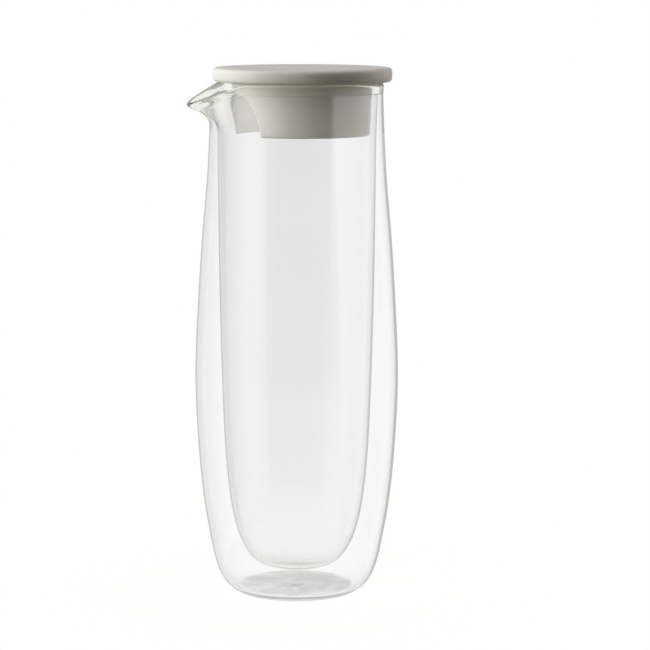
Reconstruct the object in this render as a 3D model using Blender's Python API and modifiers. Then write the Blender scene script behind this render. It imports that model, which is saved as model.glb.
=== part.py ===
"""A one-litre carafe with two walls of clear glass, a pulled pouring lip and a loose porcelain lid.

Metres, +Z up. The glass stands on z = 0 with its axis on Z, and the lip points along -X.
The outer wall and the inner vessel are blown apart and fused at the rim. A small glass pip
closes the hole in the base that let the air between them out. The lid lifts straight up.
"""

import math

import bpy

# The glass as a whole
RIM_HEIGHT = 0.2763
RIM_R = 0.0465
BELLY_SWELL = 0.0084
WALL = 0.0015
SEAM_GAP = 0.0003

# The fused rim that joins the two walls
RIM_WIDTH = 0.0048
RIM_DEPTH = 0.0054
RIM_BULGE = 0.0003

# The foot of the outer wall and the pip in its middle
BASE_WALL = 0.0020
BASE_FADE = 0.006
PIP_R = 0.0032
PIP_HEIGHT = 0.0024
PIP_GAP = 0.0003

# The inner vessel
FLOOR_HEIGHT = 0.0124

# The lip, drawn out of the round rim over its top stretch
LIP_REACH = 0.0145
LIP_DROP = 0.0105
LIP_LENGTH = 0.0276
LIP_ROUNDING = math.radians(7.0)

# The lid
DISC_THICKNESS = 0.0074
DISC_OVERHANG = 0.0015
DISC_TOP_ROUND = 0.0018
DISC_UNDER_ROUND = 0.0021
SKIRT_DEPTH = 0.0284
SKIRT_WALL = 0.0026
SKIRT_TAPER = 0.0014
SKIRT_ROUND = 0.0011
SKIRT_FILLET = 0.0008
LID_PLAY = 0.0041
LID_SIDE_GAP = 0.0011
LID_SEAT_GAP = 0.0003
LID_TURN = math.radians(10.0)
NOTCH_WIDTH = 0.0325
NOTCH_HEIGHT = 0.0227
CUT_OVERRUN = 0.0040

# How finely the round forms are cut into faces
TURNS = 40
PIP_TURNS = 20
GATHER_SHARE = 0.4
SPAN_STEPS = 2
LIP_STEPS = 6
ARC_STEPS = 3
ARCH_STEPS = 28
MERGE_DISTANCE = 0.00001
SHARP_ANGLE = math.radians(50.0)

# Height as a share of the rim's height, radius as a share of the belly's, from the foot up
OUTER_SHARES = (
    (0.0000, 0.547),
    (0.0108, 0.661),
    (0.0295, 0.739),
    (0.0612, 0.803),
    (0.1081, 0.854),
    (0.1729, 0.911),
    (0.2702, 0.963),
    (0.4251, 0.999),
    (0.5800, 0.968),
    (0.7000, 0.928),
    (0.8150, 0.878),
    (0.9050, 0.853),
)
# Height as a share of the way from the floor to the rim, radius as a share of the vessel's neck
INNER_SHARES = (
    (0.0000, 0.000),
    (0.0057, 0.345),
    (0.0192, 0.527),
    (0.0581, 0.693),
    (0.1195, 0.806),
    (0.2100, 0.878),
    (0.3230, 0.919),
    (0.5600, 0.961),
    (0.8000, 0.979),
    (0.9000, 0.985),
)
# How the lip flares: the first share grows all the way up, the rest comes in the kick at the bead
FLARE_SHARE = 0.70
KICK_START_SHARE = 0.72
KICK_END_SHARE = 0.92
DROP_POWER = 1.4

# Colours
GLASS_COLOUR = (0.93, 0.97, 0.94)
PIP_COLOUR = (0.86, 0.90, 0.87)
PORCELAIN_COLOUR = (0.80, 0.79, 0.77)

belly_r = RIM_R + BELLY_SWELL
bore_r = RIM_R - RIM_WIDTH
vessel_neck_r = bore_r + WALL
web_height = RIM_HEIGHT - RIM_DEPTH
plug_r = bore_r - LID_PLAY
lid_shift = LID_PLAY - LID_SIDE_GAP
disc_r = RIM_R + DISC_OVERHANG
disc_bottom = RIM_HEIGHT + LID_SEAT_GAP
skirt_bottom = disc_bottom - SKIRT_DEPTH


def clear_scene():
    for obj in list(bpy.data.objects):
        bpy.data.objects.remove(obj, do_unlink=True)


def new_collection(name):
    collection = bpy.data.collections.new(name)
    bpy.context.scene.collection.children.link(collection)
    return collection


def material(name, colour, roughness, transmission=0.0):
    made = bpy.data.materials.new(name)
    made.use_nodes = True
    shader = made.node_tree.nodes["Principled BSDF"]
    shader.inputs["Base Color"].default_value = (*colour, 1.0)
    shader.inputs["Roughness"].default_value = roughness
    shader.inputs["Metallic"].default_value = 0.0
    shader.inputs["Transmission Weight"].default_value = transmission
    shader.inputs["IOR"].default_value = 1.47 if transmission else 1.5
    return made


def smoothstep(start, end, value):
    share = min(max((value - start) / (end - start), 0.0), 1.0)
    return share * share * (3.0 - 2.0 * share)


def between(a, b, share):
    return (a[0] + (b[0] - a[0]) * share, a[1] + (b[1] - a[1]) * share)


def smooth_curve(points):
    """(r, z) points on a centripetal curve through these. It starts flat and ends upright."""
    first = (2.0 * points[0][0] - points[1][0], points[1][1])
    last = (points[-2][0], 2.0 * points[-1][1] - points[-2][1])
    through = [first, *points, last]
    curve = [points[0]]
    for a, b, c, d in zip(through, through[1:], through[2:], through[3:]):
        knots = [0.0]
        for near, far in ((a, b), (b, c), (c, d)):
            knots.append(knots[-1] + math.sqrt(math.dist(near, far)))
        steps = LIP_STEPS if c[1] > RIM_HEIGHT - LIP_LENGTH else SPAN_STEPS
        for step in range(1, steps + 1):
            at = knots[1] + (knots[2] - knots[1]) * step / steps
            ab = between(a, b, (at - knots[0]) / (knots[1] - knots[0]))
            bc = between(b, c, (at - knots[1]) / (knots[2] - knots[1]))
            cd = between(c, d, (at - knots[2]) / (knots[3] - knots[2]))
            low = between(ab, bc, (at - knots[0]) / (knots[2] - knots[0]))
            high = between(bc, cd, (at - knots[1]) / (knots[3] - knots[1]))
            curve.append(between(low, high, (at - knots[1]) / (knots[2] - knots[1])))
    return curve


def inner_side(curve, thickness):
    """The curve moved inwards by the wall that thickness(z) gives, along its own normal."""
    moved = []
    for place, (r, z) in enumerate(curve):
        before = curve[max(place - 1, 0)]
        after = curve[min(place + 1, len(curve) - 1)]
        along_r = after[0] - before[0]
        along_z = after[1] - before[1]
        if place == 0:
            along_z = 0.0
        if place == len(curve) - 1:
            along_r = 0.0
        length = math.hypot(along_r, along_z)
        wall = thickness(z)
        moved.append((r - wall * along_z / length, z + wall * along_r / length))
    return moved


def arc(centre_r, centre_z, radius, start, end, steps=ARC_STEPS, rise_share=1.0):
    """(r, z) points along part of an ellipse. The angles are in degrees from +r towards +z."""
    points = []
    for step in range(steps + 1):
        angle = math.radians(start + (end - start) * step / steps)
        r = centre_r + radius * math.cos(angle)
        z = centre_z + radius * math.sin(angle) * rise_share
        points.append((r, z))
    return points


def turned(name, profile, closed, collection, finish, turns=TURNS):
    """A solid of revolution on Z. The profile runs down the outer side, from the top to the bottom."""
    mesh = bpy.data.meshes.new(name)
    edges = [(place, place + 1) for place in range(len(profile) - 1)]
    if closed:
        edges.append((len(profile) - 1, 0))
    mesh.from_pydata([(r, 0.0, z) for r, z in profile], edges, [])
    mesh.materials.append(finish)
    obj = bpy.data.objects.new(name, mesh)
    collection.objects.link(obj)
    screw = obj.modifiers.new("Turn", "SCREW")
    screw.axis = "Z"
    screw.angle = math.tau
    screw.steps = turns
    screw.render_steps = turns
    screw.use_merge_vertices = True
    screw.merge_threshold = MERGE_DISTANCE
    screw.use_smooth_shade = True
    return obj


def made_mesh(obj):
    """Puts the object's evaluated mesh in its own place, so that its points can be moved or cut."""
    graph = bpy.context.evaluated_depsgraph_get()
    mesh = bpy.data.meshes.new_from_object(obj.evaluated_get(graph))
    mesh.set_sharp_from_angle(angle=SHARP_ANGLE)
    obj.modifiers.clear()
    obj.data = mesh
    return mesh


def gather_columns(mesh):
    """Turns each column of points towards the lip, where the glass bends most."""
    for vertex in mesh.vertices:
        x, y, z = vertex.co
        aside = math.atan2(y, -x)
        aside -= GATHER_SHARE * math.sin(aside)
        radius = math.hypot(x, y)
        vertex.co = (-radius * math.cos(aside), radius * math.sin(aside), z)


def pull_lip(mesh):
    """Draws the lip out along -X.

    Seen from above, two flanks leave the round rim as tangents and meet in a rounded tip.
    """
    half = math.acos(RIM_R / (RIM_R + LIP_REACH))
    tip_stretch = 1.0 / math.cos(half - LIP_ROUNDING) - 1.0
    tip_along = math.tan(half - LIP_ROUNDING)
    for vertex in mesh.vertices:
        x, y, z = vertex.co
        height = (z - RIM_HEIGHT + LIP_LENGTH) / LIP_LENGTH
        aside = math.hypot(math.atan2(y, -x), LIP_ROUNDING)
        if height <= 0.0 or aside >= half:
            continue
        stretch = (1.0 / math.cos(half - aside) - 1.0) / tip_stretch * LIP_REACH / RIM_R
        along = math.tan(half - aside) / tip_along
        flare = FLARE_SHARE * height * height
        flare += (1.0 - FLARE_SHARE) * smoothstep(KICK_START_SHARE, KICK_END_SHARE, height)
        drop = LIP_DROP * along**DROP_POWER * smoothstep(0.0, 1.0, height)
        vertex.co = (x * (1.0 + stretch * flare), y * (1.0 + stretch * flare), z - drop)


def draw_out(obj):
    """Makes a turned piece of glass a plain mesh and gives it the lip."""
    mesh = made_mesh(obj)
    gather_columns(mesh)
    pull_lip(mesh)


def outer_curve():
    """The outside of the outer wall, from the edge of the flat foot up to the seam under the rim."""
    stations = [(r * belly_r, z * RIM_HEIGHT) for z, r in OUTER_SHARES]
    stations.append((RIM_R - RIM_BULGE, web_height - SEAM_GAP))
    return smooth_curve(stations)


def build_outer_wall(collection, finish):
    outside = outer_curve()

    def thickness(z):
        return WALL + (BASE_WALL - WALL) * (1.0 - smoothstep(0.0, BASE_FADE, z))

    inside = inner_side(outside, thickness)
    hole_r = PIP_R + PIP_GAP
    profile = [*reversed(outside), (hole_r, 0.0), (hole_r, BASE_WALL), *inside]
    obj = turned("outer_wall", profile, True, collection, finish)
    draw_out(obj)
    return obj


def build_inner_vessel(collection, finish):
    """The vessel that holds the drink, with the solid rim that the outer wall is fused to."""
    rise = RIM_HEIGHT - FLOOR_HEIGHT
    stations = [(r * vessel_neck_r, FLOOR_HEIGHT + z * rise) for z, r in INNER_SHARES]
    stations.append((vessel_neck_r, web_height))
    outside = smooth_curve(stations)
    inside = inner_side(outside, lambda z: WALL)
    bead_r = RIM_WIDTH / 2.0
    bead = arc(bore_r + bead_r, RIM_HEIGHT - bead_r, bead_r, 180.0, 0.0, steps=2 * ARC_STEPS)
    web = [(RIM_R, web_height + RIM_BULGE), (RIM_R - RIM_BULGE, web_height)]
    profile = [*inside, *bead, *web, *reversed(outside)]
    obj = turned("inner_vessel", profile, False, collection, finish)
    draw_out(obj)
    return obj


def build_vent_seal(collection, finish):
    """The pip of glass that closes the hole in the middle of the base, flush with the underside."""
    crown_share = (PIP_HEIGHT - BASE_WALL) / PIP_R
    dome = arc(0.0, BASE_WALL, PIP_R, 90.0, 0.0, rise_share=crown_share)
    profile = [*dome, (PIP_R, 0.0), (0.0, 0.0)]
    return turned("vent_seal", profile, False, collection, finish, turns=PIP_TURNS)


def arch_outline():
    """(y, z) points round the notch: half an ellipse on legs that run past the skirt's edge."""
    half = NOTCH_WIDTH / 2.0
    points = []
    for step in range(ARCH_STEPS + 1):
        angle = math.pi * step / ARCH_STEPS
        points.append((half * math.cos(angle), skirt_bottom + NOTCH_HEIGHT * math.sin(angle)))
    points.append((-half, skirt_bottom - CUT_OVERRUN))
    points.append((half, skirt_bottom - CUT_OVERRUN))
    return points


def build_notch_cutter(collection, lid):
    """The arch drawn as a flat curve, stood upright and pushed through the side of the lid's skirt."""
    curve = bpy.data.curves.new("notch_outline", "CURVE")
    curve.dimensions = "2D"
    curve.fill_mode = "BOTH"
    reach = plug_r + CUT_OVERRUN
    curve.extrude = reach / 2.0
    spline = curve.splines.new("POLY")
    outline = arch_outline()
    spline.points.add(len(outline) - 1)
    for point, (y, z) in zip(spline.points, outline):
        point.co = (y, z, 0.0, 1.0)
    spline.use_cyclic_u = True
    flat = bpy.data.objects.new("notch_outline", curve)
    collection.objects.link(flat)
    flat.location.x = -reach / 2.0
    flat.rotation_euler = (math.radians(90.0), 0.0, math.radians(90.0))
    bpy.context.view_layer.update()
    graph = bpy.context.evaluated_depsgraph_get()
    mesh = bpy.data.meshes.new_from_object(flat.evaluated_get(graph))
    cutter = bpy.data.objects.new("notch_cutter", mesh)
    collection.objects.link(cutter)
    cutter.parent = lid
    cutter.matrix_basis = flat.matrix_world
    bpy.data.objects.remove(flat, do_unlink=True)
    weld = cutter.modifiers.new("Weld", "WELD")
    weld.merge_threshold = MERGE_DISTANCE
    cutter.hide_render = True
    cutter.display_type = "WIRE"
    return cutter


def build_lid(collection, cutters, finish):
    """A flat disc on the rim, with a hollow tapered skirt inside the neck, notched towards the lip.

    It is loose, so it lies off the glass's axis and a little turned, with the notch beside the lip.
    """
    top = disc_bottom + DISC_THICKNESS
    foot_r = plug_r - SKIRT_TAPER
    inside_top_r = plug_r - SKIRT_WALL
    inside_foot_r = foot_r - SKIRT_WALL
    upper = DISC_TOP_ROUND
    under = DISC_UNDER_ROUND
    edge = SKIRT_ROUND
    fillet = SKIRT_FILLET
    profile = [(0.0, top)]
    profile += arc(disc_r - upper, top - upper, upper, 90.0, 0.0)
    profile += arc(disc_r - under, disc_bottom + under, under, 0.0, -90.0)
    profile.append((plug_r, disc_bottom))
    profile += arc(foot_r - edge, skirt_bottom + edge, edge, 0.0, -90.0)
    profile += arc(inside_foot_r + edge, skirt_bottom + edge, edge, -90.0, -180.0)
    profile += arc(inside_top_r - fillet, disc_bottom - fillet, fillet, 0.0, 90.0)
    profile.append((0.0, disc_bottom))
    obj = turned("lid", profile, False, collection, finish)
    obj.location.x = lid_shift
    obj.rotation_euler.z = LID_TURN
    notch = obj.modifiers.new("Notch", "BOOLEAN")
    notch.operation = "DIFFERENCE"
    notch.solver = "EXACT"
    notch.object = build_notch_cutter(cutters, obj)
    return obj


def main():
    clear_scene()
    parts = new_collection("carafe")
    cutters = new_collection("cutters")
    clear_glass = material("clear_glass", GLASS_COLOUR, 0.02, transmission=1.0)
    inner_glass = material("inner_glass", GLASS_COLOUR, 0.02, transmission=1.0)
    pip_glass = material("pip_glass", PIP_COLOUR, 0.05, transmission=1.0)
    porcelain = material("glazed_porcelain", PORCELAIN_COLOUR, 0.30)
    build_outer_wall(parts, clear_glass)
    build_inner_vessel(parts, inner_glass)
    build_vent_seal(parts, pip_glass)
    build_lid(parts, cutters, porcelain)


main()
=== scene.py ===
"""The looks of a double-walled glass carafe with a loose porcelain lid.

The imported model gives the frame: where each piece stands and its overall size. The finer sizes
are properties here. The two walls of glass are fused at the rim, so one turned piece stands for
both. The pip in the base and the lid are pieces of their own. The tip of the lip points along -X.
"""

import math

import bpy
from bpy.props import FloatProperty, FloatVectorProperty, IntProperty, PointerProperty
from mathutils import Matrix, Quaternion, Vector


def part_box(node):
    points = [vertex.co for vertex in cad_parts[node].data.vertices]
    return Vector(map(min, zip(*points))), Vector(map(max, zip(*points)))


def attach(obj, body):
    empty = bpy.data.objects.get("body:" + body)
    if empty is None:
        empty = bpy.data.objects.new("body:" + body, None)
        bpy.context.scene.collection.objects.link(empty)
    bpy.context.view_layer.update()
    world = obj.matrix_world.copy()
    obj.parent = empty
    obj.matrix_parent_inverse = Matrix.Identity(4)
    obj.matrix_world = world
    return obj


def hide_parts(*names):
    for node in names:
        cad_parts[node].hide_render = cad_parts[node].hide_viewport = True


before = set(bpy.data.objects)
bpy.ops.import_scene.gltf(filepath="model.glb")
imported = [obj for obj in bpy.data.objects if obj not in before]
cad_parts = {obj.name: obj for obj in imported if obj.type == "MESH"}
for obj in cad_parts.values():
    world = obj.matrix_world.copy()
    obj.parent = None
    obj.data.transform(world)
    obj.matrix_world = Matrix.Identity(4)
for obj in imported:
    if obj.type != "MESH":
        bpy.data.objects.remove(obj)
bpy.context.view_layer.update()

bl_info = {
    "name": "Double-walled carafe",
    "version": (1, 0, 0),
    "blender": (4, 5, 0),
    "location": "View3D > Sidebar > Carafe",
    "description": "Builds a glass carafe with two fused walls, a vent pip, a porcelain lid and a stage",
    "category": "Add Mesh",
}

vessel_low, vessel_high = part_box("inner_vessel")
wall_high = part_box("outer_wall")[1]
pip_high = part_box("vent_seal")[1]
lid_low, lid_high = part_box("lid")

PHOTO_PIXELS = 650
SENSOR_WIDTH_MM = 36.0

# Height as a share of the rim's height, radius as a share of the belly's, from the foot up
OUTER_SHARES = (
    (0.0000, 0.547),
    (0.0108, 0.661),
    (0.0295, 0.739),
    (0.0612, 0.803),
    (0.1081, 0.854),
    (0.1729, 0.911),
    (0.2702, 0.963),
    (0.4251, 0.999),
    (0.5800, 0.968),
    (0.7000, 0.928),
    (0.8150, 0.878),
    (0.9050, 0.853),
)
# Height as a share of the way from the floor to the rim, radius as a share of the vessel's neck
INNER_SHARES = (
    (0.0000, 0.000),
    (0.0057, 0.345),
    (0.0192, 0.527),
    (0.0581, 0.693),
    (0.1195, 0.806),
    (0.2100, 0.878),
    (0.3230, 0.919),
    (0.5600, 0.961),
    (0.8000, 0.979),
    (0.9000, 0.985),
)
SPAN_STEPS = 7
ARC_STEPS = 8
WEB_STEPS = 6
MERGE_DISTANCE = 0.000005
# Keeps rounding from moving a point into the row before it
HALF_STEP = 0.5
SMALLEST_ANGLE = 0.001
FOOT_RING_SHARES = (0.0, 0.04, 0.3, 0.6, 0.85, 0.95)
UV_NAME = "UVMap"
SHARP_ANGLE = math.radians(50.0)


def number(name, description, default, **kind):
    return FloatProperty(name=name, description=description, default=default, **kind)


def length(name, description, default):
    return number(name, description, default, unit="LENGTH", precision=5)


def share(name, description, default):
    return number(name, description, default, min=0.0, soft_max=1.0)


def angle(name, description, degrees):
    return number(name, description, math.radians(degrees), subtype="ANGLE")


def colour(name, description, default):
    return FloatVectorProperty(
        name=name, description=description, default=default, subtype="COLOR", min=0.0, max=1.0
    )


class CarafeGlass(bpy.types.PropertyGroup):
    """Sizes and tint of the glass."""

    rim_height: length("Rim height", "Height of the round rim above the foot", vessel_high.z)
    rim_r: length("Rim radius", "Outer radius of the round rim", vessel_high.x)
    belly_r: length("Belly radius", "Outer radius where the glass is widest", wall_high.x)
    floor_height: length("Floor height", "Height of the inner vessel's underside", vessel_low.z)
    wall: length("Wall", "Thickness of both walls", 0.0015)
    base_wall: length("Base wall", "Thickness of the outer wall at the foot", 0.0020)
    base_fade: length("Base fade", "Height over which the base wall thins out", 0.003)
    rim_width: length("Rim width", "Width of the fused rim", 0.0048)
    rim_depth: length("Rim depth", "Depth of solid glass at the fused rim", 0.0054)
    rim_bulge: length("Rim bulge", "How far the bead stands out under the rim", 0.0003)
    bead_rise: length("Bead rise", "Height of the rounding over the bead's widest place", 0.0020)
    seam_round: length("Seam rounding", "Radius of the corners where the walls come together", 0.0001)
    lip_reach: length("Lip reach", "How far the lip is drawn out of the rim", 0.0145)
    lip_drop: length("Lip drop", "How far the tip of the lip dips", 0.0105)
    lip_length: length("Lip length", "Height of glass that the lip is drawn from", 0.0276)
    lip_thinning_share: share("Lip thinning", "How much thinner the glass is at the lip's tip", 0.70)
    lip_rounding: angle("Lip rounding", "Angle over which the tip of the lip is rounded", 7.0)
    flare_share: share("Flare share", "Share of the lip's flare that grows all the way up", 0.70)
    kick_start_share: share("Kick start", "Where the kick under the bead starts", 0.72)
    kick_end_share: share("Kick end", "Where the kick under the bead ends", 0.92)
    drop_power: number("Drop power", "How sharply the lip dips towards its tip", 1.4)
    columns: IntProperty(name="Columns", description="Faces round the glass", default=240, min=12)
    gather_share: share("Gather share", "How much the faces crowd towards the lip", 0.35)
    tint: colour("Tint", "Colour of the glass", (0.992, 0.994, 0.990))
    rim_tint: colour("Rim tint", "Colour that the thick glass of the rim shows", (0.76, 0.79, 0.60))
    bead_height: length("Bead height", "How far down the rim's colour shows", 0.0024)
    lip_tint_share: share("Lip tint", "How much of the rim's colour the thin glass of the lip shows", 0.50)
    ior: number("IOR", "Refraction of the glass", 1.47)
    wave_depth: length("Wave depth", "Height of the waves that working in the flame leaves", 0.00003)


class CarafePip(bpy.types.PropertyGroup):
    """Sizes of the pip of glass in the base."""

    pip_r: length("Pip radius", "Radius of the pip", pip_high.x)
    crown: length("Crown", "How far the pip stands above the base wall", 0.0002)
    melt_gap: length("Melt gap", "Width of the seam round the pip", 0.00005)
    columns: IntProperty(name="Columns", description="Faces round the pip", default=64, min=8)
    tint: colour("Tint", "Colour of the pip", (0.97, 0.98, 0.97))
    wave_depth: length("Wave depth", "Height of the waves in the pip", 0.0001)


class CarafeLid(bpy.types.PropertyGroup):
    """Sizes and glaze of the lid."""

    top: length("Top", "Height of the top of the lid", lid_high.z)
    disc_r: length("Disc radius", "Radius of the disc", (lid_high.x - lid_low.x) / 2.0)
    centre_x: length("Centre", "How far the lid lies from the axis", (lid_high.x + lid_low.x) / 2.0)
    disc_thickness: length("Disc thickness", "Thickness of the disc", 0.0074)
    top_round: length("Top rounding", "Radius of the disc's upper edge", 0.0018)
    under_round: length("Under rounding", "Radius of the disc's lower edge", 0.0021)
    skirt_bottom: length("Skirt bottom", "Height of the skirt's lower edge", lid_low.z)
    skirt_r: length("Skirt radius", "Outer radius of the skirt under the disc", 0.0376)
    skirt_wall: length("Skirt wall", "Thickness of the skirt", 0.0026)
    skirt_taper: length("Skirt taper", "How much narrower the skirt is at its foot", 0.0014)
    skirt_round: length("Skirt rounding", "Radius of the skirt's lower edge", 0.0011)
    fillet: length("Fillet", "Radius where the skirt meets the disc", 0.0008)
    turn: angle("Turn", "How far the notch is turned from the lip, away from the camera", -10.0)
    notch_width: length("Notch width", "Width of the notch at its foot", 0.0325)
    notch_height: length("Notch height", "Height of the notch", 0.0227)
    notch_corner: length("Notch corner", "Radius of the corners where the notch opens", 0.0012)
    glaze: colour("Glaze", "Colour of the glaze", (0.80, 0.785, 0.745))
    glaze_shade: colour("Glaze shade", "Colour where the glaze lies thinner", (0.765, 0.745, 0.70))
    # Unglazed porcelain inside the skirt, its colour painted lighter than the glaze to stand in for the
    # light that fills the hollow
    bare_painted_lit: colour("Bare porcelain", "Colour inside the skirt, where there is no glaze", (0.97, 0.965, 0.95))
    light_reach: length("Light reach", "How far light gets through the glazed porcelain", 0.005)
    bare_reach: length("Bare reach", "How far light gets through the bare porcelain", 0.04)


class CarafeStage(bpy.types.PropertyGroup):
    """The camera, the lamps and the floor."""

    camera_distance: length("Camera distance", "Level distance from the camera to the axis", 1.430)
    camera_height: length("Camera height", "Height of the camera", 0.3415)
    camera_azimuth: angle("Camera azimuth", "How far the camera stands round the carafe", -15.0)
    lens: number("Lens", "Focal length in millimetres", 147.95)
    roll: angle("Roll", "How far the camera leans", 0.13)
    aim_height: length("Aim height", "Height on the axis that the camera looks at", 0.1454)
    aim_side_pixels: number("Aim to the side", "Pixels from the axis to the picture's middle", 28.2)
    floor_r: length("Floor radius", "Radius of the floor", 1.5)
    floor_gap: length("Floor gap", "Air between the paper and the foot", 0.0002)
    shadow_r: length("Shadow radius", "How far from the foot the floor's shadow fades out", 0.16)
    shadow_share: share("Shadow share", "How much of the floor's own shading the camera sees", 0.60)
    # Painted shade: darker swirls painted on the floor under the foot and a little behind it, for the
    # light and shadow that the thick base throws
    foot_shade: share("Foot shade", "How dark the swirls are in the light under the foot", 0.28)
    foot_shade_r: length("Foot shade radius", "Radius of those swirls", 0.0315)
    foot_shade_shift: length("Foot shade shift", "How far they lie behind the foot", 0.006)
    paper_light: share("Paper light", "How bright the paper is where nothing shades it", 0.10)


# The Mix node has sockets of every type. These are its factor, its two colours and their result.
MIX_COLOUR_INPUTS = (0, 6, 7)
MIX_COLOUR_RESULT = 2


class Net:
    """A node tree that is written one step at a time."""

    def __init__(self, tree):
        self.tree = tree

    def feed(self, socket, value):
        """Links a socket or a node's first output to this socket, or sets a plain value on it."""
        if isinstance(value, bpy.types.Node):
            value = value.outputs[0]
        if isinstance(value, bpy.types.NodeSocket):
            self.tree.links.new(value, socket)
        else:
            socket.default_value = value

    def fill(self, node, inputs):
        for place, value in inputs.items():
            self.feed(node.inputs[place], value)

    def add(self, kind, inputs=(), **settings):
        node = self.tree.nodes.new(kind)
        for name, value in settings.items():
            setattr(node, name, value)
        self.fill(node, dict(inputs))
        return node

    def math(self, operation, *values, clamp=False):
        return self.add("ShaderNodeMath", enumerate(values), operation=operation, use_clamp=clamp)

    def plus(self, a, b):
        return self.math("ADD", a, b)

    def minus(self, a, b):
        return self.math("SUBTRACT", a, b)

    def times(self, a, b):
        return self.math("MULTIPLY", a, b)

    def over(self, a, b):
        return self.math("DIVIDE", a, b)

    def parts(self, vector):
        return self.add("ShaderNodeSeparateXYZ", {"Vector": vector}).outputs

    def vector(self, operation, *values):
        """A vector calculation, and the vector or the number that comes out of it."""
        node = self.add("ShaderNodeVectorMath", enumerate(values), operation=operation)
        return node.outputs["Value" if operation in {"LENGTH", "DOT_PRODUCT"} else "Vector"]

    def scaled(self, vector, factor):
        return self.add("ShaderNodeVectorMath", {"Vector": vector, "Scale": factor}, operation="SCALE")

    def noise(self, vector, scale, detail, distortion=0.0):
        values = {"Vector": vector, "Scale": scale, "Detail": detail, "Distortion": distortion}
        return self.add("ShaderNodeTexNoise", values)

    def ramp(self, value, low, high, start=0.0, end=1.0, kind="SMOOTHSTEP"):
        values = enumerate((value, low, high, start, end))
        return self.add("ShaderNodeMapRange", values, interpolation_type=kind)

    def blend(self, factor, a, b, kind="MIX"):
        values = zip(MIX_COLOUR_INPUTS, (factor, a, b))
        node = self.add("ShaderNodeMix", values, data_type="RGBA", blend_type=kind)
        return node.outputs[MIX_COLOUR_RESULT]

    def mix(self, factor, a, b):
        """A shader that goes from a to b."""
        return self.add("ShaderNodeMixShader", enumerate((factor, a, b)))

    def show(self, shader, output="Material Output"):
        self.fill(self.tree.nodes[output], {"Surface": shader})


def floats(*given):
    """Number sockets with these names and defaults."""
    return [(label, "NodeSocketFloat", default) for label, default in given]


def new_group(name, kind, inputs, outputs):
    """A node group with these named sockets, and its input and output nodes."""
    tree = bpy.data.node_groups.new(name, kind)
    for label, socket_type, default in inputs:
        socket = tree.interface.new_socket(label, in_out="INPUT", socket_type=socket_type)
        if default is not None:
            socket.default_value = default
    for label, socket_type in outputs:
        tree.interface.new_socket(label, in_out="OUTPUT", socket_type=socket_type)
    return Net(tree), tree.nodes.new("NodeGroupInput").outputs, tree.nodes.new("NodeGroupOutput").inputs


# Outlines

def between(a, b, part):
    return (a[0] + (b[0] - a[0]) * part, a[1] + (b[1] - a[1]) * part)


def smoothstep(start, end, value):
    part = min(max((value - start) / (end - start), 0.0), 1.0)
    return part * part * (3.0 - 2.0 * part)


def smooth_curve(points, steps=SPAN_STEPS):
    """(r, z) points on a centripetal curve through these. It starts flat and ends upright."""
    first = (2.0 * points[0][0] - points[1][0], points[1][1])
    last = (points[-2][0], 2.0 * points[-1][1] - points[-2][1])
    through = [first, *points, last]
    curve = [points[0]]
    for a, b, c, d in zip(through, through[1:], through[2:], through[3:]):
        knots = [0.0]
        for near, far in ((a, b), (b, c), (c, d)):
            knots.append(knots[-1] + math.sqrt(math.dist(near, far)))
        for step in range(1, steps + 1):
            at = knots[1] + (knots[2] - knots[1]) * step / steps
            ab = between(a, b, (at - knots[0]) / (knots[1] - knots[0]))
            bc = between(b, c, (at - knots[1]) / (knots[2] - knots[1]))
            cd = between(c, d, (at - knots[2]) / (knots[3] - knots[2]))
            low = between(ab, bc, (at - knots[0]) / (knots[2] - knots[0]))
            high = between(bc, cd, (at - knots[1]) / (knots[3] - knots[1]))
            curve.append(between(low, high, (at - knots[1]) / (knots[2] - knots[1])))
    return curve


def inner_side(curve, thickness):
    """The curve moved inwards by the wall that thickness(z) gives, along its own normal."""
    moved = []
    for place, (r, z) in enumerate(curve):
        before = curve[max(place - 1, 0)]
        after = curve[min(place + 1, len(curve) - 1)]
        along_r = after[0] - before[0]
        along_z = after[1] - before[1]
        if place == 0:
            along_z = 0.0
        if place == len(curve) - 1:
            along_r = 0.0
        span = math.hypot(along_r, along_z)
        wall = thickness(z)
        moved.append((r - wall * along_z / span, z + wall * along_r / span))
    return moved


def arc(centre_r, centre_z, radius, start, end, steps=ARC_STEPS, rise_share=1.0):
    """(r, z) points along part of an ellipse. The angles are in degrees from +r towards +z."""
    points = []
    for step in range(steps + 1):
        angle = math.radians(start + (end - start) * step / steps)
        r = centre_r + radius * math.cos(angle)
        z = centre_z + radius * math.sin(angle) * rise_share
        points.append((r, z))
    return points


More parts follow.
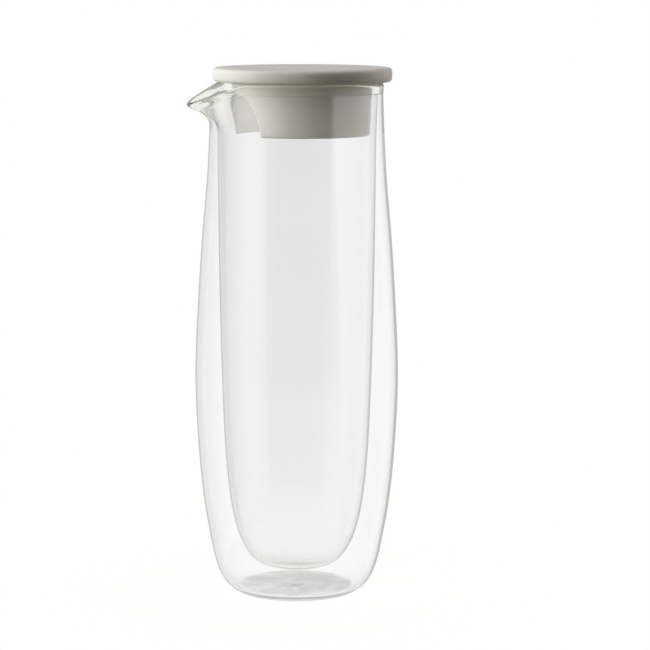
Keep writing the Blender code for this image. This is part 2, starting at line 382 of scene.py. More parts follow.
def glass_outline(glass, hole_r):
    """The section of the fused glass, from the axis inside the vessel round to the axis under it."""
    bead_r = glass.rim_width / 2.0
    bead_z = glass.rim_height - glass.bead_rise
    bore_r = glass.rim_r - glass.rim_width
    neck_r = bore_r + glass.wall
    web_z = glass.rim_height - glass.rim_depth
    corner = glass.seam_round
    gap_top = web_z - corner
    gap_outer_r = glass.rim_r - glass.rim_bulge - glass.wall
    rise = glass.rim_height - glass.floor_height

    vessel = [(r * neck_r, glass.floor_height + z * rise) for z, r in INNER_SHARES]
    vessel_outside = smooth_curve([*vessel, (neck_r, gap_top)])
    vessel_inside = inner_side(vessel_outside, lambda z: glass.wall)

    widest = glass.belly_r / max(r for z, r in OUTER_SHARES)
    wall = [(r * widest, z * glass.rim_height) for z, r in OUTER_SHARES]
    wall_outside = smooth_curve([*wall, (glass.rim_r - glass.rim_bulge, web_z), (glass.rim_r, bead_z)])

    def thickness(z):
        """The wall is thicker at the foot."""
        return glass.wall + (glass.base_wall - glass.wall) * (1.0 - smoothstep(0.0, glass.base_fade, z))

    wall_inside = [point for point in inner_side(wall_outside, thickness) if point[1] < gap_top]
    flatness = glass.bead_rise / bead_r
    bead = arc(bore_r + bead_r, bead_z, bead_r, 180.0, 0.0, steps=2 * ARC_STEPS, rise_share=flatness)
    web = arc(gap_outer_r - corner, gap_top, corner, 0.0, 90.0, steps=WEB_STEPS)
    web += arc(neck_r + corner, gap_top, corner, 90.0, 180.0, steps=WEB_STEPS)
    flat_r = glass.belly_r * OUTER_SHARES[0][1]
    flat = [hole_r + (flat_r - hole_r) * part for part in FOOT_RING_SHARES]
    foot = [(r, 0.0) for r in reversed(flat)] + [(r, glass.base_wall) for r in flat]
    down_outside = list(reversed(wall_outside))[1:]
    down_vessel = list(reversed(vessel_outside))[1:]
    return [*vessel_inside, *bead, *down_outside, *foot, *wall_inside, *web, *down_vessel]


def pip_outline(pip, base_wall):
    crown_share = pip.crown / pip.pip_r
    dome = arc(0.0, base_wall, pip.pip_r, 90.0, 0.0, rise_share=crown_share)
    return [*dome, (pip.pip_r, 0.0), (0.0, 0.0)]


# Turned glass

def turned_glass_tree():
    """Turns an outline of points round Z and draws the lip out of its top."""
    net, given, made = new_group(
        "Turned Glass",
        "GeometryNodeTree",
        (
            ("Outline", "NodeSocketGeometry", None),
            ("Columns", "NodeSocketInt", 64),
            *floats(
                ("Gather Share", 0.0),
                ("Rim Radius", 1.0),
                ("Rim Height", 1.0),
                ("Lip Reach", 0.0),
                ("Lip Drop", 0.0),
                ("Lip Length", 1.0),
                ("Lip Rounding", 0.1),
                ("Lip Thinning", 0.0),
                ("Flare Share", 0.7),
                ("Kick Start Share", 0.7),
                ("Kick End Share", 0.9),
                ("Drop Power", 1.5),
            ),
            ("Finish", "NodeSocketMaterial", None),
        ),
        (("Geometry", "NodeSocketGeometry"),),
    )
    # A grid with one row for each point of the outline, and its two sides on the same meridian
    size = net.add("GeometryNodeAttributeDomainSize", {"Geometry": given["Outline"]}, component="MESH")
    across = net.plus(given["Columns"], 1.0)
    sheet = net.add(
        "GeometryNodeMeshGrid", {"Vertices X": size.outputs["Point Count"], "Vertices Y": across}
    ).outputs
    mapped = net.add(
        "GeometryNodeStoreNamedAttribute",
        {"Geometry": sheet["Mesh"], "Name": UV_NAME, "Value": sheet["UV Map"]},
        data_type="FLOAT2",
        domain="CORNER",
    )
    index = net.add("GeometryNodeInputIndex")
    row = net.math("FLOOR", net.over(net.plus(index, HALF_STEP), across))
    column = net.minus(index, net.times(row, across))
    place = net.add("GeometryNodeInputPosition")
    point = net.add(
        "GeometryNodeSampleIndex",
        {"Geometry": given["Outline"], "Value": place, "Index": row},
        data_type="FLOAT_VECTOR",
    )
    outline = net.parts(point.outputs["Value"])
    turn = net.times(net.over(column, given["Columns"]), math.tau)
    even = net.minus(turn, math.pi)
    aside = net.minus(even, net.times(net.math("SINE", even), given["Gather Share"]))
    radius = outline["X"]
    x = net.times(net.times(net.math("COSINE", aside), radius), -1.0)
    y = net.times(net.math("SINE", aside), radius)
    spot = net.add("ShaderNodeCombineXYZ", {"X": x, "Y": y, "Z": outline["Z"]})
    round_glass = net.add("GeometryNodeSetPosition", {"Geometry": mapped, "Position": spot})
    closed = net.add(
        "GeometryNodeMergeByDistance", {"Geometry": round_glass, "Distance": MERGE_DISTANCE}
    )

    # Seen from above, two flanks leave the rim as tangents and meet in a rounded tip
    here = net.parts(place)
    turned = net.math("ARCTAN2", here["Y"], net.times(here["X"], -1.0))
    flat = net.add("ShaderNodeCombineXYZ", {"X": here["X"], "Y": here["Y"]})
    rounding = given["Lip Rounding"]
    apart = net.math("SQRT", net.plus(net.times(turned, turned), net.times(rounding, rounding)))
    tip_r = net.plus(given["Rim Radius"], given["Lip Reach"])
    half = net.math("ARCCOSINE", net.over(given["Rim Radius"], tip_r))
    left = net.math("MAXIMUM", net.minus(half, apart), 0.0)
    most = net.math("MAXIMUM", net.minus(half, rounding), SMALLEST_ANGLE)

    def secant(angle):
        return net.minus(net.over(1.0, net.math("COSINE", angle)), 1.0)

    stretch = net.over(secant(left), secant(most))
    stretch = net.times(stretch, net.over(given["Lip Reach"], given["Rim Radius"]))
    along = net.over(net.math("TANGENT", left), net.math("TANGENT", most))
    lip_foot = net.minus(given["Rim Height"], given["Lip Length"])
    up = net.over(net.minus(here["Z"], lip_foot), given["Lip Length"])
    up = net.math("MAXIMUM", up, 0.0)
    kick = net.ramp(up, given["Kick Start Share"], given["Kick End Share"])
    slow = net.times(given["Flare Share"], net.times(up, up))
    fast = net.times(net.minus(1.0, given["Flare Share"]), kick)
    flare = net.times(stretch, net.plus(slow, fast))
    depth = net.minus(given["Rim Radius"], net.vector("LENGTH", flat))
    thinning = net.times(given["Lip Thinning"], net.ramp(net.times(along, up), 0.0, 1.0))
    thinner = net.over(net.times(depth, thinning), given["Rim Radius"])
    flare = net.plus(flare, thinner)
    drop = net.times(net.math("POWER", along, given["Drop Power"]), net.ramp(up, 0.0, 1.0))
    fall = net.times(net.times(drop, given["Lip Drop"]), -1.0)
    pull = net.add(
        "ShaderNodeCombineXYZ",
        {"X": net.times(here["X"], flare), "Y": net.times(here["Y"], flare), "Z": fall},
    )
    lipped = net.add("GeometryNodeSetPosition", {"Geometry": closed, "Offset": pull})
    outward = net.add("GeometryNodeFlipFaces", {"Mesh": lipped})
    soft = net.add("GeometryNodeSetShadeSmooth", {"Geometry": outward})
    real = net.add("GeometryNodeRealizeInstances", {"Geometry": soft})
    finished = net.add("GeometryNodeSetMaterial", {"Geometry": real, "Material": given["Finish"]})
    net.feed(made["Geometry"], finished)
    return net.tree


# A lip that would start far above the piece, so that it moves nothing
NO_LIP = {"Rim Height": 1.0, "Lip Length": 0.5}


def place_piece(name, mesh):
    piece = bpy.data.objects.new(name, mesh)
    bpy.context.scene.collection.objects.link(piece)
    return piece


def turn_glass(name, outline, values):
    """A plain mesh of this outline turned by the tree, with these values in its inputs."""
    flat = bpy.data.meshes.new(name + "_outline")
    flat.from_pydata([(r, 0.0, z) for r, z in outline], [], [])
    piece = place_piece(name, flat)
    tree = bpy.data.node_groups.get("Turned Glass") or turned_glass_tree()
    turning = piece.modifiers.new("Turned glass", "NODES")
    turning.node_group = tree
    sockets = {item.name: item.identifier for item in tree.interface.items_tree if item.in_out == "INPUT"}
    for label, value in values.items():
        turning[sockets[label]] = value
    graph = bpy.context.evaluated_depsgraph_get()
    mesh = bpy.data.meshes.new_from_object(piece.evaluated_get(graph))
    piece.modifiers.clear()
    piece.data = mesh
    mesh.name = name
    mesh.set_sharp_from_angle(angle=SHARP_ANGLE)
    bpy.data.meshes.remove(flat)
    return piece


# Finishes

GLASS_WAVE = {"Scale": 26.0, "Upright Stretch": 3.0, "Detail": 1.0}
GLAZE_WAVE = {"Scale": 260.0, "Upright Stretch": 1.0, "Detail": 2.0}
GLAZE_WAVE_STRENGTH = 0.5
GLAZE_WAVE_DEPTH = 0.00004
# Where the noise behind the glaze's clouds and specks starts and ends to show
CLOUD_SPAN = (0.35, 0.70)
CLOUD_DETAIL = 3.0
SPECK_SPAN = (0.70, 0.78)
SPECK_DETAIL = 1.0
GLAZE_SPECULAR = 0.2
PORCELAIN_SCATTER = (1.0, 0.95, 0.85)
# Where the unglazed inside of the skirt starts, whose colour is painted lighter for the light in the
# hollow
BARE_PAINTED_LIT_FADE = 0.0004
BARE_PAINTED_LIT_WALL_SHARE = 0.25
# How softly the colour of thick glass ends along the outline, as a share of its span
TINT_EDGE_SHARE = 0.15
LIP_MIDDLE_V = 0.5
# How far from the lip's middle, along V, the thick glass starts to show more than the lip's share of
# its colour, and where it shows all of it
LIP_TINT_SPAN = (0.10, 0.18)
# Bounces are whole numbers. These lie just before the first one and just before the second one.
FIRST_BOUNCE = 0.5
SECOND_BOUNCE = 1.5


def uneven_surface_group():
    """A slow wave in a fired surface, such as glass worked in the flame or a poured glaze."""
    found = bpy.data.node_groups.get("Uneven Surface")
    if found:
        return found
    net, given, made = new_group(
        "Uneven Surface",
        "ShaderNodeTree",
        (
            ("Vector", "NodeSocketVector", None),
            *floats(("Scale", 20.0), ("Upright Stretch", 1.0), ("Detail", 1.0)),
        ),
        (("Height", "NodeSocketFloat"),),
    )
    squash = net.over(1.0, given["Upright Stretch"])
    stretched = net.add("ShaderNodeCombineXYZ", {"X": 1.0, "Y": 1.0, "Z": squash})
    spot = net.vector("MULTIPLY", given["Vector"], stretched)
    net.feed(made["Height"], net.noise(spot, given["Scale"], given["Detail"]))
    return net.tree


def glaze_group():
    """A glaze that lies thicker in soft clouds, with a few fine specks."""
    net, given, made = new_group(
        "Poured Glaze",
        "ShaderNodeTree",
        (
            ("Vector", "NodeSocketVector", None),
            ("Thick Colour", "NodeSocketColor", (0.8, 0.8, 0.8, 1.0)),
            ("Thin Colour", "NodeSocketColor", (0.7, 0.7, 0.7, 1.0)),
            ("Speck Colour", "NodeSocketColor", (0.5, 0.45, 0.4, 1.0)),
            *floats(
                ("Cloud Scale", 30.0),
                ("Speck Scale", 900.0),
                ("Speck Strength", 0.3),
                ("Gloss Roughness", 0.3),
                ("Dull Roughness", 0.4),
            ),
        ),
        (("Colour", "NodeSocketColor"), ("Roughness", "NodeSocketFloat")),
    )
    cloud = net.noise(given["Vector"], given["Cloud Scale"], CLOUD_DETAIL)
    thin = net.ramp(cloud, *CLOUD_SPAN)
    clouded = net.blend(thin, given["Thick Colour"], given["Thin Colour"])
    grain = net.noise(given["Vector"], given["Speck Scale"], SPECK_DETAIL)
    speck = net.ramp(grain, *SPECK_SPAN)
    specked = net.blend(net.times(speck, given["Speck Strength"]), clouded, given["Speck Colour"])
    net.feed(made["Colour"], specked)
    roughness = net.ramp(thin, 0.0, 1.0, given["Gloss Roughness"], given["Dull Roughness"])
    net.feed(made["Roughness"], roughness)
    return net.tree


def new_material(name):
    """An empty material with a Principled shader, its tree and the piece's own coordinates."""
    made = bpy.data.materials.new(name)
    made.use_nodes = True
    net = Net(made.node_tree)
    shader = made.node_tree.nodes["Principled BSDF"]
    spot = net.add("ShaderNodeTexCoord").outputs["Object"]
    return made, net, shader, spot


def wave_bump(net, spot, wave_form, strength, depth):
    """A bump from the uneven surface group. Depth is the height of the wave in metres."""
    wave = net.add("ShaderNodeGroup", {"Vector": spot, **wave_form}, node_tree=uneven_surface_group())
    return net.add("ShaderNodeBump", {"Strength": strength, "Distance": depth, "Height": wave})


def mirrored_twice(net, path):
    """1 for light that polished glass has mirrored at least twice."""
    return net.math("GREATER_THAN", path["Glossy Depth"], SECOND_BOUNCE)


def glass_finish(name, tint, ior, wave_depth, thick_tint=None, thick_span=(0.0, 1.0), lip_share=1.0):
    """Clear glass with the faint waves that working in the flame leaves.

    Where the glass is thick its own colour shows. That is a span of the outline, along U, and less
    of it in the lip, which lies in the middle of V. Light on its way to other things passes straight
    through, and so does light that the glass has mirrored twice.
    """
    made, net, shader, spot = new_material(name)
    plain = {"Roughness": 0.0, "Metallic": 0.0, "Transmission Weight": 1.0, "IOR": ior}
    net.fill(shader, {"Base Color": (*tint, 1.0), **plain})
    if thick_tint:
        low, high = thick_span
        edge = (high - low) * TINT_EDGE_SHARE
        along = net.parts(net.add("ShaderNodeUVMap", uv_map=UV_NAME))
        rising = net.ramp(along["X"], low - edge, low + edge)
        falling = net.ramp(along["X"], high - edge, high + edge, 1.0, 0.0)
        from_lip = net.math("ABSOLUTE", net.minus(along["Y"], LIP_MIDDLE_V))
        full = net.ramp(from_lip, *LIP_TINT_SPAN, lip_share, 1.0)
        thick = net.times(net.times(rising, falling), full)
        net.feed(shader.inputs["Base Color"], net.blend(thick, (*tint, 1.0), (*thick_tint, 1.0)))
    net.feed(shader.inputs["Normal"], wave_bump(net, spot, GLASS_WAVE, 1.0, wave_depth))
    clear = net.add("ShaderNodeBsdfTransparent", {"Color": (*tint, 1.0)})
    path = net.add("ShaderNodeLightPath").outputs
    straight = net.math("MAXIMUM", path["Is Shadow Ray"], mirrored_twice(net, path))
    net.show(net.mix(straight, shader, clear))
    return made


def porcelain_finish(name, lid):
    """White porcelain under a satin glaze, and unglazed inside the skirt, where its colour is painted
    lighter for the light that fills the hollow.
    """
    made, net, shader, spot = new_material(name)
    values = {
        "Vector": spot,
        "Thick Colour": (*lid.glaze, 1.0),
        "Thin Colour": (*lid.glaze_shade, 1.0),
        "Speck Colour": (0.55, 0.50, 0.44, 1.0),
        "Cloud Scale": 34.0,
        "Speck Scale": 1500.0,
        "Speck Strength": 0.25,
        "Gloss Roughness": 0.34,
        "Dull Roughness": 0.42,
    }
    glaze = net.add("ShaderNodeGroup", values, node_tree=glaze_group())
    centred = net.vector("SUBTRACT", spot, (lid.centre_x, 0.0, 0.0))
    from_axis = net.vector("LENGTH", net.vector("MULTIPLY", centred, (1.0, 1.0, 0.0)))
    glaze_end = lid.skirt_r - lid.skirt_taper - lid.skirt_wall * BARE_PAINTED_LIT_WALL_SHARE
    inside = net.ramp(from_axis, glaze_end - BARE_PAINTED_LIT_FADE, glaze_end, 1.0, 0.0)
    below = net.math("LESS_THAN", net.parts(spot)["Z"], lid.top - lid.disc_thickness + BARE_PAINTED_LIT_FADE)
    # Inside the skirt the porcelain is unglazed, and its colour there is painted lighter for the light
    # that fills the hollow
    bare_painted_lit = net.times(inside, below)
    values = {
        "Base Color": net.blend(bare_painted_lit, glaze.outputs["Colour"], (*lid.bare_painted_lit, 1.0)),
        "Roughness": glaze.outputs["Roughness"],
        "Specular IOR Level": GLAZE_SPECULAR,
        "Subsurface Weight": 1.0,
        "Subsurface Radius": PORCELAIN_SCATTER,
        "Subsurface Scale": net.ramp(bare_painted_lit, 0.0, 1.0, lid.light_reach, lid.bare_reach),
        "Normal": wave_bump(net, spot, GLAZE_WAVE, GLAZE_WAVE_STRENGTH, GLAZE_WAVE_DEPTH),
    }
    net.fill(shader, values)
    return made


# The lid

LID_COLUMNS = 360
NOTCH_COLUMNS = 44
SKIRT_ROWS = 14
FILLET_STEPS = 5
OUTLINE_STEPS = 40
DISC_RING_SHARES = (0.25, 0.5, 0.75)


def evenly(points, count):
    """This many points at even steps along the line through these."""
    reach = [0.0]
    for near, far in zip(points, points[1:]):
        reach.append(reach[-1] + math.dist(near, far))
    spread = []
    span = 0
    for step in range(count):
        at = reach[-1] * step / (count - 1)
        while span < len(points) - 2 and reach[span + 1] < at:
            span += 1
        part = (at - reach[span]) / (reach[span + 1] - reach[span])
        spread.append(between(points[span], points[span + 1], part))
    return spread


def notch_edge(lid, middle_r, zone):
    """(u, z) points of the skirt's lower edge across the notch, u being the distance round the skirt."""
    half = lid.notch_width / 2.0
    corner = lid.notch_corner
    side = middle_r * math.asin(half / middle_r)
    edge = [(middle_r * zone, lid.skirt_bottom)]
    edge += arc(side + corner, lid.skirt_bottom + corner, corner, -90.0, -180.0)
    lowest = math.asin(corner / lid.notch_height)
    for step in range(OUTLINE_STEPS + 1):
        angle = lowest + (math.pi / 2.0 - lowest) * step / OUTLINE_STEPS
        across = half * math.cos(angle)
        rise = lid.notch_height * math.sin(angle)
        edge.append((middle_r * math.asin(across / middle_r), lid.skirt_bottom + rise))
    mirrored = [(-u, z) for u, z in reversed(edge[:-1])]
    return evenly([*edge, *mirrored], 2 * NOTCH_COLUMNS + 1)


def edge_normals(edge):
    """For each point of the edge, the direction into the porcelain."""
    normals = []
    for place in range(len(edge)):
        before = edge[max(place - 1, 0)]
        after = edge[min(place + 1, len(edge) - 1)]
        span = math.dist(before, after)
        normals.append(((after[1] - before[1]) / span, (before[0] - after[0]) / span))
    return normals


def lid_rows(lid):
    """Rings of points from the middle of the top, over the edge, down the skirt and up inside it."""
    zone = NOTCH_COLUMNS * math.tau / LID_COLUMNS
    disc_bottom = lid.top - lid.disc_thickness
    skirt_top = disc_bottom - lid.fillet
    middle_r = lid.skirt_r - (lid.skirt_taper + lid.skirt_wall) / 2.0
    asides = [math.pi - place * math.tau / LID_COLUMNS for place in range(LID_COLUMNS)]
    edge = notch_edge(lid, middle_r, zone)
    normals = edge_normals(edge)
    first = LID_COLUMNS // 2 - NOTCH_COLUMNS
    feet = [(aside * middle_r, lid.skirt_bottom) for aside in asides]
    inwards = [(0.0, 1.0)] * LID_COLUMNS
    feet[first : first + len(edge)] = edge
    inwards[first : first + len(edge)] = normals

    def ring(r, z):
        return [(aside, r, z) for aside in asides]

    def outer_r(z):
        return lid.skirt_r - lid.skirt_taper * (disc_bottom - z) / (disc_bottom - lid.skirt_bottom)

    def inset(place, depth):
        """The point of the skirt's edge moved into the porcelain by this depth."""
        u = feet[place][0] + inwards[place][0] * depth
        return (u / middle_r, feet[place][1] + inwards[place][1] * depth)

    edge_r = lid.skirt_round

    def skirt_row(part, depth, inwards_by=edge_r):
        """The ring this share of the way from the disc to the edge, and this deep in the wall."""
        row = []
        for place, aside in enumerate(asides):
            turn, z = between((aside, skirt_top), inset(place, inwards_by), part)
            row.append((turn, outer_r(z) - depth, z))
        return row

    rows = [ring(lid.disc_r * part, lid.top) for part in DISC_RING_SHARES]
    upper = lid.top_round
    under = lid.under_round
    rows += [ring(r, z) for r, z in arc(lid.disc_r - upper, lid.top - upper, upper, 90.0, 0.0)]
    rows += [ring(r, z) for r, z in arc(lid.disc_r - under, disc_bottom + under, under, 0.0, -90.0)]
    fillet = lid.fillet
    corner = arc(lid.skirt_r + fillet, skirt_top, fillet, 90.0, 180.0, steps=FILLET_STEPS)
    rows += [ring(r, z) for r, z in corner]
    rows += [skirt_row(step / SKIRT_ROWS, 0.0) for step in range(1, SKIRT_ROWS + 1)]
    half_wall = lid.skirt_wall / 2.0
    flat = half_wall - edge_r
    for step in range(1, 2 * ARC_STEPS):
        angle = math.pi * step / (2 * ARC_STEPS)
        across = edge_r * math.cos(angle) + math.copysign(flat, math.cos(angle))
        if step == ARC_STEPS:
            across = 0.0
        rows.append(skirt_row(1.0, half_wall - across, edge_r * (1.0 - math.sin(angle))))
    rows += [skirt_row(1.0 - step / SKIRT_ROWS, lid.skirt_wall) for step in range(SKIRT_ROWS + 1)]
    inner_r = lid.skirt_r - lid.skirt_wall - fillet
    corner = arc(inner_r, skirt_top, fillet, 0.0, 90.0, steps=FILLET_STEPS)
    rows += [ring(r, z) for r, z in corner[1:]]
    rows += [ring(inner_r * part, disc_bottom) for part in reversed(DISC_RING_SHARES)]
    return rows


def lid_mesh(name, lid):
    """One closed skin over the lid's rings, with a pole in the middle of the top and of the underside."""
    rows = lid_rows(lid)
    disc_bottom = lid.top - lid.disc_thickness
    points = []
    for row in rows:
        for aside, r, z in row:
            turn = aside + lid.turn
            points.append((lid.centre_x - r * math.cos(turn), r * math.sin(turn), z))
    faces = []
    for row in range(len(rows) - 1):
        for place in range(LID_COLUMNS):
            here = row * LID_COLUMNS + place
            beside = row * LID_COLUMNS + (place + 1) % LID_COLUMNS
            faces.append((here, here + LID_COLUMNS, beside + LID_COLUMNS, beside))
    top_pole = len(points)
    under_pole = top_pole + 1
    points += [(lid.centre_x, 0.0, lid.top), (lid.centre_x, 0.0, disc_bottom)]
    last = (len(rows) - 1) * LID_COLUMNS
    for place in range(LID_COLUMNS):
        beside = (place + 1) % LID_COLUMNS
        faces.append((top_pole, place, beside))
        faces.append((under_pole, last + beside, last + place))
    mesh = bpy.data.meshes.new(name)
    mesh.from_pydata(points, [], faces)
    mesh.shade_smooth()
    return mesh


# The stage

# Azimuth from the camera's side, to the right, elevation, half angles in degrees, strength, tone
PANELS = (
    (-84.0, 14.0, 20.0, 37.0, 4.65, (1.0, 0.995, 0.985)),
    (118.0, 10.0, 18.0, 34.0, 1.9, (1.0, 0.98, 0.94)),
    (0.0, 90.0, 20.0, 45.0, 0.60, (1.0, 0.98, 0.95)),
)
AMBIENT = (0.018, 0.016, 0.012)
# Share of the light that is refracted on its way in. The rest goes straight through the glass.
THROUGH_GLASS = 0.15
# Azimuth from the camera's side, to the right, and the brightness that polished glass mirrors there:
# level with the camera, from lower down, and above the horizon. Dark flags stand at both sides of
# the white backdrop, as they do when glass is photographed.
REFLECTED_WALLS = (
    (-180.0, 0.90, 0.90, 0.50),
    (-175.0, 0.60, 0.60, 0.55),
    (-164.0, 0.60, 0.60, 0.65),
    (-156.0, 0.90, 0.90, 0.60),
    (-140.0, 0.94, 0.94, 0.60),
    (-124.0, 0.52, 0.54, 0.60),
    (-104.0, 0.40, 0.46, 0.60),
    (-60.0, 0.62, 0.64, 0.70),
    (-20.0, 0.08, 0.65, 0.40),
    (47.0, 0.04, 0.60, 0.35),
    (53.0, 1.00, 1.00, 0.60),
    (148.0, 1.00, 1.00, 0.60),
    (156.0, 0.54, 0.54, 0.40),
    (174.0, 0.54, 0.54, 0.30),
    (180.0, 0.90, 0.90, 0.50),
)
REFLECTED_WARMTH = 0.98
REFLECTED_CEILING = (0.6, 0.6, 0.58)
REFLECTED_TABLE = (0.95, 0.95, 0.90)
# How high above the horizon or how far below it, up to 1, one reflection gives way to the next
LOW_WALL_SPAN = (0.06, 0.24)
HIGH_WALL_SPAN = (0.04, 0.14)
TABLE_SPAN = (0.25, 0.60)
CEILING_HALF_ANGLES = (40.0, 60.0)
# What the glass shows of light that it has mirrored twice, as in the rim and the lip
DEEP_REFLECTION = (0.46, 0.46, 0.445)
PAPER = (0.16, 0.15, 0.133)
FLOOR_STEPS = 64
# Share of its radius up to which the floor's shadow is full
FULL_SHADOW_SHARE = 0.3
# Painted shade on the floor under the foot, in swirls of noise
SWIRL_SCALE = 42.0
SWIRL_DETAIL = 2.0
SWIRL_DISTORTION = 1.6
SWIRL_SPAN = (0.40, 0.60)
FAINT_SWIRL_SHARE = 0.30
# Where the painted swirls of shade under the foot fade out, as shares of their radius
SWIRL_EDGE_SHARES = (0.94, 1.04)
CLIP_NEAR = 0.05
CLIP_FAR = 20.0


def floor_finish(stage, back):
    """Grey paper that the camera sees as white as the backdrop, with part of its own soft shade.

    Under the foot, swirls of painted shade stand in for the light and shadow that a thick base throws
    there. Where glass mirrors it, it is clear, and the world's own table shows.
    """
    made, net, shader, spot = new_material("floor_paper")
    paper = net.add("ShaderNodeBsdfDiffuse", {"Color": (*PAPER, 1.0)})
    full_r = stage.shadow_r * FULL_SHADOW_SHARE
    shown = net.ramp(net.vector("LENGTH", spot), full_r, stage.shadow_r, stage.shadow_share, 0.0)
    hidden = net.minus(1.0, shown)
    unshaded = net.minus(1.0, net.times(shown, stage.paper_light))
    # Painted shade: the camera sees the paper darker in swirls under the foot
    swirl = net.noise(spot, SWIRL_SCALE, SWIRL_DETAIL, SWIRL_DISTORTION)
    faint = stage.foot_shade * FAINT_SWIRL_SHARE
    painted_swirl_shade = net.ramp(swirl, *SWIRL_SPAN, stage.foot_shade, faint)
    behind = net.vector("SUBTRACT", spot, tuple(back * -stage.foot_shade_shift))
    edge = [stage.foot_shade_r * part for part in SWIRL_EDGE_SHARES]
    under = net.ramp(net.vector("LENGTH", behind), *edge, 1.0, 0.0)
    unshaded = net.minus(unshaded, net.times(under, painted_swirl_shade))
    strength = net.over(unshaded, hidden)
    white = net.add("ShaderNodeEmission", {"Color": (1.0, 1.0, 1.0, 1.0), "Strength": strength})
    laid = net.mix(net.times(straight_view(net), hidden), paper, white)
    clear = net.add("ShaderNodeBsdfTransparent")
    net.show(net.mix(mirrored_view(net), laid, clear))
    made.node_tree.nodes.remove(shader)
    return made


def straight_view(net):
    """1 for what the camera sees directly or through glass, 0 once light has bounced off anything."""
    path = net.add("ShaderNodeLightPath").outputs
    seen = net.math("ADD", path["Is Camera Ray"], path["Is Transmission Ray"], clamp=True)
    bounces = net.plus(path["Diffuse Depth"], path["Glossy Depth"])
    return net.times(seen, net.math("LESS_THAN", bounces, FIRST_BOUNCE))


def mirrored_view(net):
    """1 for what polished glass mirrors to the camera, 0 for everything that lights a surface."""
    path = net.add("ShaderNodeLightPath").outputs
    mirrored = net.math("GREATER_THAN", path["Glossy Depth"], FIRST_BOUNCE)
    return net.times(mirrored, net.math("LESS_THAN", path["Diffuse Depth"], FIRST_BOUNCE))


def soft_panel(net, towards, direction, inner, outer):
    """1 in the middle of a round panel that lies in this direction, 0 outside it."""
    along = net.vector("DOT_PRODUCT", towards, tuple(direction))
    return net.ramp(along, math.cos(math.radians(outer)), math.cos(math.radians(inner)))


def wall_ramp(net, turned, column):
    """The reflected walls by how far round they stand, from one column of the table."""
    walls = net.add("ShaderNodeValToRGB", {"Fac": turned})
    stops = walls.color_ramp.elements
    stops.remove(stops[-1])
    for place, row in enumerate(REFLECTED_WALLS):
        at = (row[0] + 180.0) / 360.0
        stop = stops[0] if place == 0 else stops.new(at)
        stop.position = at
        stop.color = (row[column], row[column], row[column] * REFLECTED_WARMTH, 1.0)
    return walls.outputs["Color"]


def studio_world(back, right):
    """White behind the glass, pale walls in its reflections, and soft panels that light the scene."""
    world = bpy.data.worlds.new("studio")
    world.use_nodes = True
    bpy.context.scene.world = world
    net = Net(world.node_tree)
    room = world.node_tree.nodes["Background"]
    towards = net.add("ShaderNodeTexCoord").outputs["Generated"]

    light = (*AMBIENT, 1.0)
    for azimuth, elevation, inner, outer, strength, tone in PANELS:
        turn = math.radians(azimuth)
        level = math.cos(math.radians(elevation))
        rise = Vector((0.0, 0.0, math.sin(math.radians(elevation))))
        direction = (back * math.cos(turn) + right * math.sin(turn)) * level + rise
        mask = soft_panel(net, towards, direction, inner, outer)
        light = net.blend(1.0, light, net.scaled(tone, net.times(mask, strength)), kind="ADD")

    across = net.vector("DOT_PRODUCT", towards, tuple(right))
    near = net.vector("DOT_PRODUCT", towards, tuple(back))
    turned = net.ramp(net.math("ARCTAN2", across, near), -math.pi, math.pi, kind="LINEAR")
    height = net.parts(towards)["Z"]
    depth = net.times(height, -1.0)
    level_walls, low_walls, high_walls = (wall_ramp(net, turned, column) for column in (1, 2, 3))
    walls = net.blend(net.ramp(depth, *LOW_WALL_SPAN), level_walls, low_walls)
    walls = net.blend(net.ramp(height, *HIGH_WALL_SPAN), walls, high_walls)
    upwards = soft_panel(net, towards, (0.0, 0.0, 1.0), *CEILING_HALF_ANGLES)
    reflected = net.blend(upwards, walls, (*REFLECTED_CEILING, 1.0))
    reflected = net.blend(net.ramp(depth, *TABLE_SPAN), reflected, (*REFLECTED_TABLE, 1.0))
    path = net.add("ShaderNodeLightPath").outputs
    reflected = net.blend(mirrored_twice(net, path), reflected, (*DEEP_REFLECTION, 1.0))
    inside = net.times(path["Is Transmission Ray"], THROUGH_GLASS - 1.0)
    lamps = net.scaled(light, net.plus(1.0, inside))
    net.fill(room, {"Color": net.blend(mirrored_view(net), lamps, reflected)})
    white = net.add("ShaderNodeBackground", {"Color": (1.0, 1.0, 1.0, 1.0), "Strength": 1.0})
    net.show(net.mix(straight_view(net), room, white), "World Output")


def camera_axes(stage):
    """Unit vectors from the carafe to the camera and to the right of the picture, both level."""
    turn = stage.camera_azimuth
    back = Vector((math.sin(turn), -math.cos(turn), 0.0))
    right = Vector((math.cos(turn), math.sin(turn), 0.0))
    return back, right


def place_camera(stage):
    back, right = camera_axes(stage)
    data = bpy.data.cameras.new("camera")
    data.lens = stage.lens
    data.sensor_width = SENSOR_WIDTH_MM
    data.clip_start = CLIP_NEAR
    data.clip_end = CLIP_FAR
    camera = place_piece("camera", data)
    spot = back * stage.camera_distance + Vector((0.0, 0.0, stage.camera_height))
    axis_spot = Vector((0.0, 0.0, stage.aim_height))
    reach = (spot - axis_spot).length
    aside = stage.aim_side_pixels / PHOTO_PIXELS * SENSOR_WIDTH_MM / stage.lens * reach
    aim = axis_spot + right * aside
    camera.location = spot
    lean = Quaternion((0.0, 0.0, 1.0), stage.roll)
    camera.rotation_euler = ((aim - spot).to_track_quat("-Z", "Y") @ lean).to_euler()
    bpy.context.scene.camera = camera


# Operators

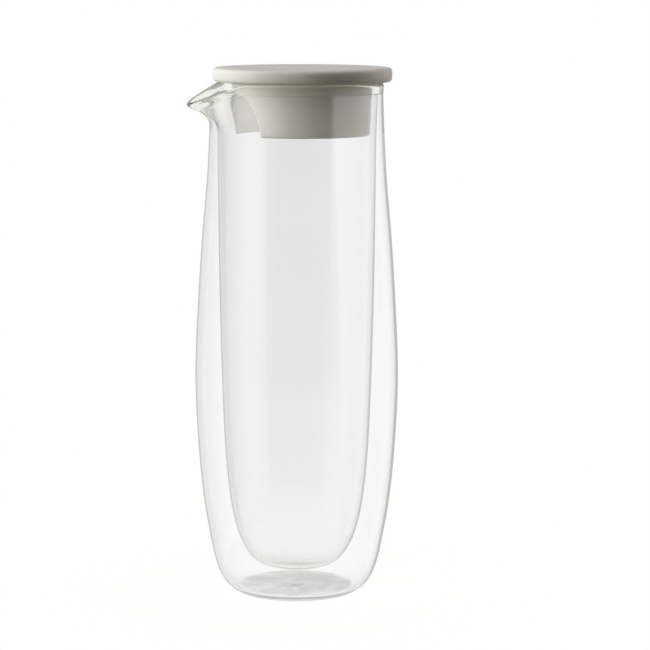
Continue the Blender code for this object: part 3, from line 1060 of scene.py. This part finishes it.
class CARAFE_OT_glass(bpy.types.Operator):
    """Turns the two fused walls of glass and draws out the lip"""

    bl_idname = "carafe.glass"
    bl_label = "Fused glass walls"

    def execute(self, context):
        glass = context.scene.carafe_glass
        pip = context.scene.carafe_pip
        outline = glass_outline(glass, pip.pip_r + pip.melt_gap)
        bead = [place for place, (r, z) in enumerate(outline) if z > glass.rim_height - glass.bead_height]
        span = (bead[0] / (len(outline) - 1), bead[-1] / (len(outline) - 1))
        finish = glass_finish(
            "clear_glass",
            glass.tint,
            glass.ior,
            glass.wave_depth,
            glass.rim_tint,
            span,
            glass.lip_tint_share,
        )
        values = {
            "Columns": glass.columns,
            "Gather Share": glass.gather_share,
            "Rim Radius": glass.rim_r,
            "Rim Height": glass.rim_height,
            "Lip Reach": glass.lip_reach,
            "Lip Drop": glass.lip_drop,
            "Lip Length": glass.lip_length,
            "Lip Rounding": glass.lip_rounding,
            "Lip Thinning": glass.lip_thinning_share,
            "Flare Share": glass.flare_share,
            "Kick Start Share": glass.kick_start_share,
            "Kick End Share": glass.kick_end_share,
            "Drop Power": glass.drop_power,
            "Finish": finish,
        }
        walls = turn_glass("fused_glass_walls", outline, values)
        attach(walls, "vessel")
        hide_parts("outer_wall", "inner_vessel")
        return {"FINISHED"}


class CARAFE_OT_vent_pip(bpy.types.Operator):
    """Turns the pip of glass that closes the hole in the base"""

    bl_idname = "carafe.vent_pip"
    bl_label = "Vent pip"

    def execute(self, context):
        glass = context.scene.carafe_glass
        pip = context.scene.carafe_pip
        finish = glass_finish("pip_glass", pip.tint, glass.ior, pip.wave_depth)
        values = {"Columns": pip.columns, "Finish": finish, **NO_LIP}
        piece = turn_glass("vent_pip", pip_outline(pip, glass.base_wall), values)
        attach(piece, "vessel")
        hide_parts("vent_seal")
        return {"FINISHED"}


class CARAFE_OT_lid(bpy.types.Operator):
    """Builds the porcelain lid with its hollow skirt and the notch in it"""

    bl_idname = "carafe.lid"
    bl_label = "Porcelain lid"

    def execute(self, context):
        lid = context.scene.carafe_lid
        mesh = lid_mesh("porcelain_lid", lid)
        mesh.materials.append(porcelain_finish("glazed_porcelain", lid))
        piece = place_piece("porcelain_lid", mesh)
        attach(piece, "lid")
        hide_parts("lid")
        return {"FINISHED"}


class CARAFE_OT_stage(bpy.types.Operator):
    """Lays the floor and sets up the studio light and the camera"""

    bl_idname = "carafe.stage"
    bl_label = "Stage"

    def execute(self, context):
        stage = context.scene.carafe_stage
        back, right = camera_axes(stage)
        ring = arc(0.0, 0.0, stage.floor_r, 0.0, 360.0, steps=FLOOR_STEPS)[:-1]
        paper = bpy.data.meshes.new("floor")
        paper.from_pydata([(x, y, 0.0) for x, y in ring], [], [tuple(range(FLOOR_STEPS))])
        paper.materials.append(floor_finish(stage, back))
        floor = place_piece("floor", paper)
        floor.location.z = -stage.floor_gap
        studio_world(back, right)
        place_camera(stage)
        context.scene.view_settings.view_transform = "Standard"
        return {"FINISHED"}


class CARAFE_PT_panel(bpy.types.Panel):
    """Lists the pieces of the carafe"""

    bl_idname = "CARAFE_PT_panel"
    bl_label = "Carafe"
    bl_space_type = "VIEW_3D"
    bl_region_type = "UI"
    bl_category = "Carafe"

    def draw(self, context):
        for operator in OPERATORS:
            self.layout.operator(operator.bl_idname)
        for name in SETTINGS:
            settings = getattr(context.scene, name)
            for item in settings.bl_rna.properties.keys():
                if item not in {"rna_type", "name"}:
                    self.layout.prop(settings, item)


OPERATORS = (CARAFE_OT_glass, CARAFE_OT_vent_pip, CARAFE_OT_lid, CARAFE_OT_stage)
SETTINGS = {
    "carafe_glass": CarafeGlass,
    "carafe_pip": CarafePip,
    "carafe_lid": CarafeLid,
    "carafe_stage": CarafeStage,
}


def register():
    for group in SETTINGS.values():
        bpy.utils.register_class(group)
    for name, group in SETTINGS.items():
        setattr(bpy.types.Scene, name, PointerProperty(type=group))
    for operator in OPERATORS:
        bpy.utils.register_class(operator)
    bpy.utils.register_class(CARAFE_PT_panel)


def unregister():
    bpy.utils.unregister_class(CARAFE_PT_panel)
    for operator in reversed(OPERATORS):
        bpy.utils.unregister_class(operator)
    for name in SETTINGS:
        delattr(bpy.types.Scene, name)
    for group in reversed(SETTINGS.values()):
        bpy.utils.unregister_class(group)


def main():
    register()
    bpy.ops.carafe.glass()
    bpy.ops.carafe.vent_pip()
    bpy.ops.carafe.lid()
    bpy.ops.carafe.stage()


if __name__ == "__main__":
    main()
